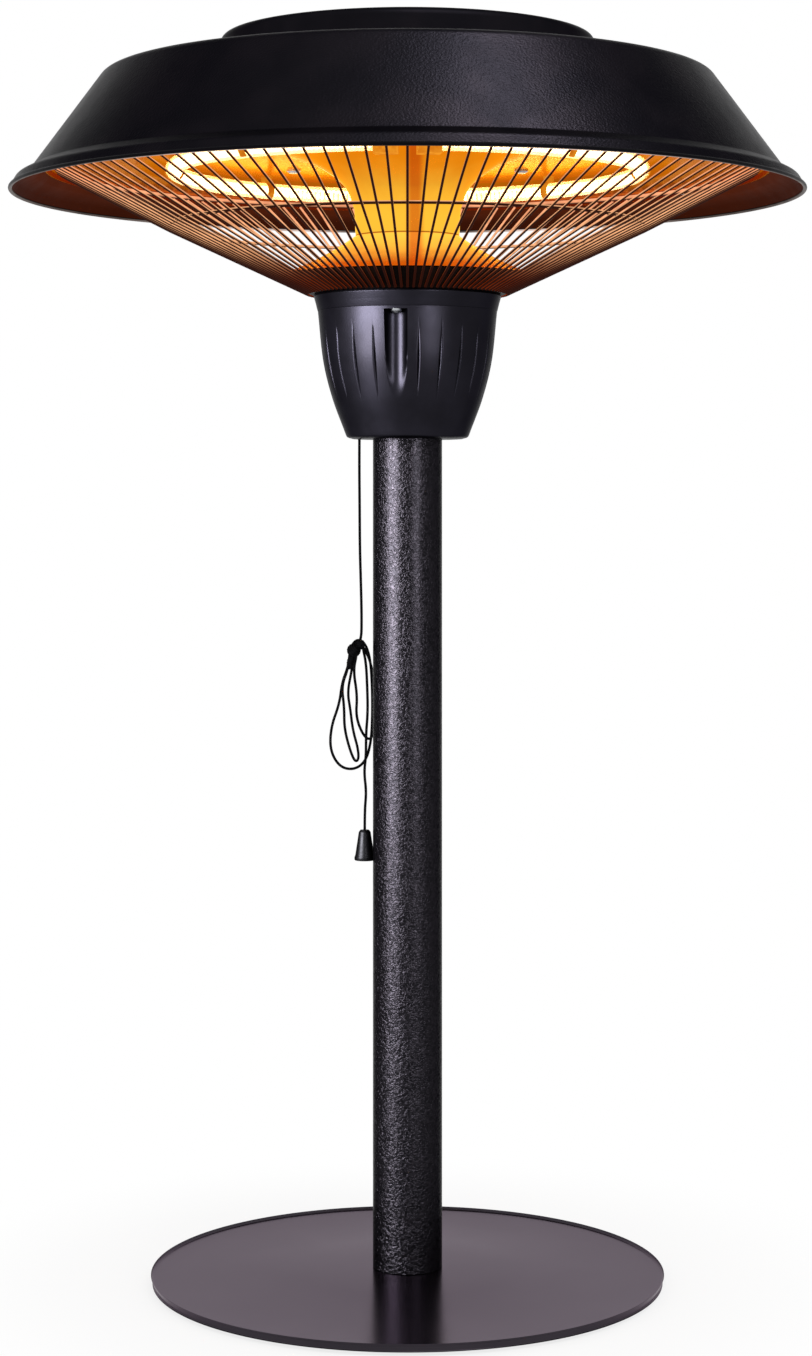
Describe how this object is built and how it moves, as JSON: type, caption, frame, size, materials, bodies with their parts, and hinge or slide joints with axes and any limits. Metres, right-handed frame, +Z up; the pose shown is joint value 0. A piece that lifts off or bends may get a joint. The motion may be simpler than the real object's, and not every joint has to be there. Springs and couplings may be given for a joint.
{
  "type": "tabletop patio heater",
  "caption": "Tabletop halogen patio heater: round base, slim pole, bell housing with pull cord, conical wire guard, half-ring lamps under a flared round shade.",
  "frame": {"origin": "on the floor under the middle of the base plate", "axes": "+Z up along the pole, -Y towards the front, +X to the right seen from the front"},
  "size_m": [0.4346, 0.4346, 0.682],
  "materials": {
    "black_hammered": "fine hammered black paint",
    "black_satin": "satin black paint",
    "base_paint": "satin black paint, lightly textured",
    "guard_black": "black heat-proof enamel",
    "housing_plastic": "satin moulded plastic",
    "reflector": "polished, lit amber by the lamps",
    "zinc_steel": "zinc plated",
    "quartz": "clear quartz round a glowing filament",
    "ceramic": "unglazed steatite",
    "rubber": "matt",
    "switch_plastic": "moulded",
    "cord": "braided black cord",
    "knob_plastic": "gloss black"
  },
  "bodies": {
    "root": {"foot_pads": "rubber", "base_plate": "base_paint", "base_screws": "zinc_steel", "pole_foot_plug": "zinc_steel", "pole": "black_hammered", "cord_outlet_grommet": "rubber", "housing_body": "housing_plastic", "housing_top_cover": "housing_plastic", "housing_screws": "zinc_steel", "pole_socket": "zinc_steel", "socket_screws": "zinc_steel", "tie_rods": "zinc_steel", "tie_rod_nuts": "zinc_steel", "core_tube": "zinc_steel", "terminal_block": "ceramic", "tip_over_switch": "switch_plastic", "pull_switch_body": "switch_plastic", "switch_return_spring": "zinc_steel", "cord_guide_bush": "rubber", "guard_wires": "guard_black", "guard_middle_ring": "guard_black", "guard_outer_ring": "guard_black", "guard_hub": "guard_black", "guard_clips": "zinc_steel", "lower_reflector_cone": "reflector", "reflector_column": "reflector", "reflector_dish": "reflector", "lamp_right": "quartz", "lamp_left": "quartz", "lamp_end_caps": "ceramic", "lamp_end_brackets": "zinc_steel", "lamp_clips": "zinc_steel", "reflector_spacers": "zinc_steel", "spacer_screws": "zinc_steel", "thermal_cutout": "ceramic", "shade": "black_hammered", "top_cap": "black_satin", "cap_brackets": "zinc_steel", "cap_screws": "zinc_steel"},
    "pull": {"switch_plunger": "zinc_steel", "pull_cord_upper": "cord", "pull_cord_knot": "cord", "pull_cord_hank": "cord", "pull_cord_tail": "cord", "pull_knob": "knob_plastic"}
  },
  "joints": [
    {"name": "pull_cord_slide", "type": "slide", "parent": "root", "child": "pull", "axis": [0, 0, -1], "range_m": [0, 0.008], "stiffness_N_per_m": 300, "deforming": ["switch_return_spring"]}
  ]
}
